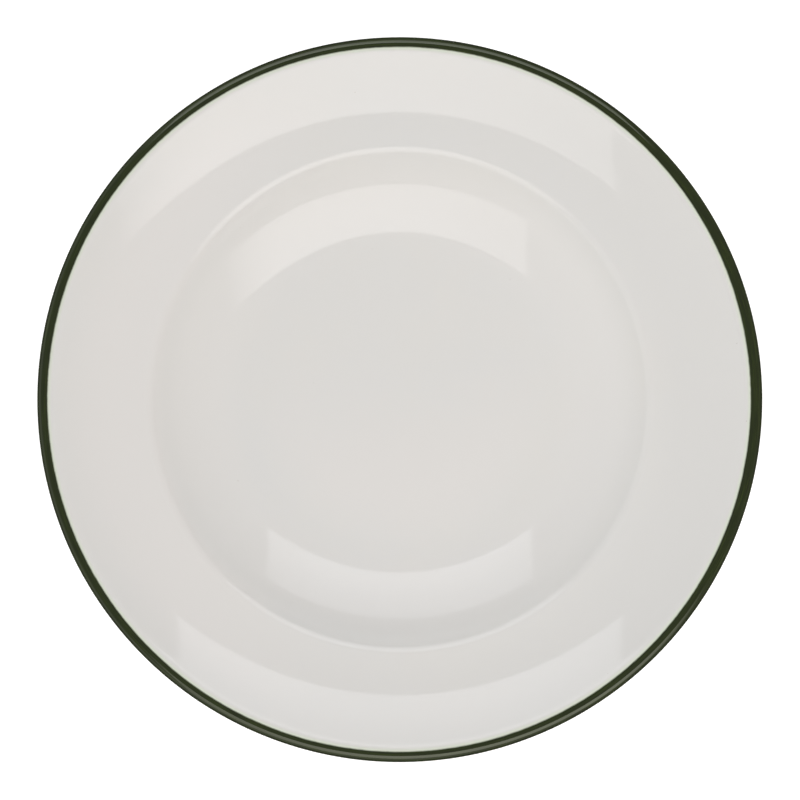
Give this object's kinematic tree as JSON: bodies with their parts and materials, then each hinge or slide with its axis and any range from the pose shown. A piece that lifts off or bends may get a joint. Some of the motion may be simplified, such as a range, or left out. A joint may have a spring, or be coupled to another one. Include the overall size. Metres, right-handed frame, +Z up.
{
  "type": "rimmed deep plate",
  "caption": "Deep dinner plate in glazed white porcelain: flat floor, rounded well, hollow rim, foot ring and a dark green band wrapped round the lip.",
  "frame": {"origin": "middle of the foot ring's resting face, on the plane that the plate stands on", "axes": "+Z up along the plate's axis, out of the well; X and Y are equal, because the plate is turned about Z"},
  "size_m": [0.23, 0.23, 0.0345],
  "materials": {
    "bare_porcelain": "matt fired clay, wiped clean of glaze on the foot ring",
    "white_glaze": "glossy warm white glaze",
    "green_glaze": "glossy dark olive green glaze, banded by hand"
  },
  "bodies": {
    "root": {"plate_body": "bare_porcelain", "face_glaze": "white_glaze", "rim_band": "green_glaze", "back_glaze": "white_glaze", "foot_glaze": "white_glaze"}
  },
  "joints": []
}
